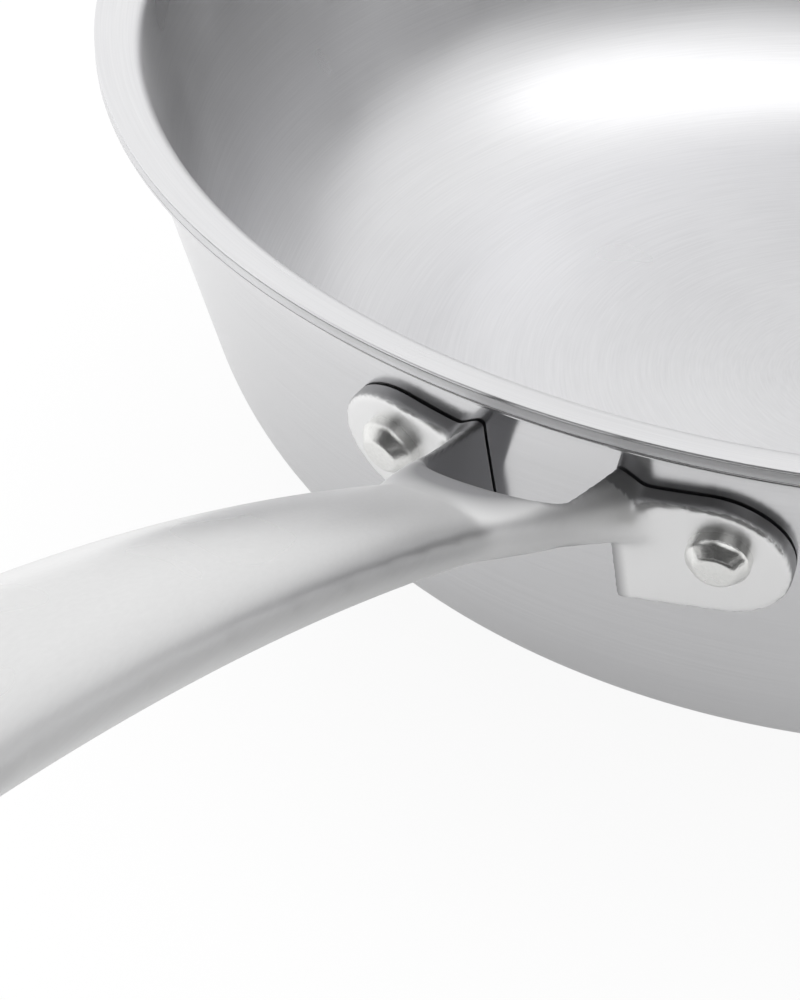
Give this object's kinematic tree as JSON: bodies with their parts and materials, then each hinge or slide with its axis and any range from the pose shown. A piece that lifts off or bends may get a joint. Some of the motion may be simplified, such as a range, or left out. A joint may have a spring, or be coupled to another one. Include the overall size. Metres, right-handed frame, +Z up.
{
  "type": "saute pan",
  "caption": "Curved-side saute pan of clad stainless steel with a flared pouring lip and a forked cast handle riveted to its wall.",
  "frame": {"origin": "centre of the base's underside, on the surface that the pan stands on", "axes": "+Z up along the bowl's axis, +X from the bowl towards the handle's tip"},
  "size_m": [0.4396, 0.25, 0.1276],
  "materials": {
    "satin_steel": "fine satin outside face of the bowl",
    "core_aluminium": "bare, seen only at the trimmed lip",
    "brushed_steel_inside": "brushed round the axis",
    "cast_steel": "satin cast steel, polished lengthwise",
    "rivet_steel": "smooth, slightly hammered"
  },
  "bodies": {
    "root": {"outer_shell": "satin_steel", "core": "core_aluminium", "inner_shell": "brushed_steel_inside", "handle": "cast_steel", "rivet_left": "rivet_steel", "rivet_right": "rivet_steel"}
  },
  "joints": []
}
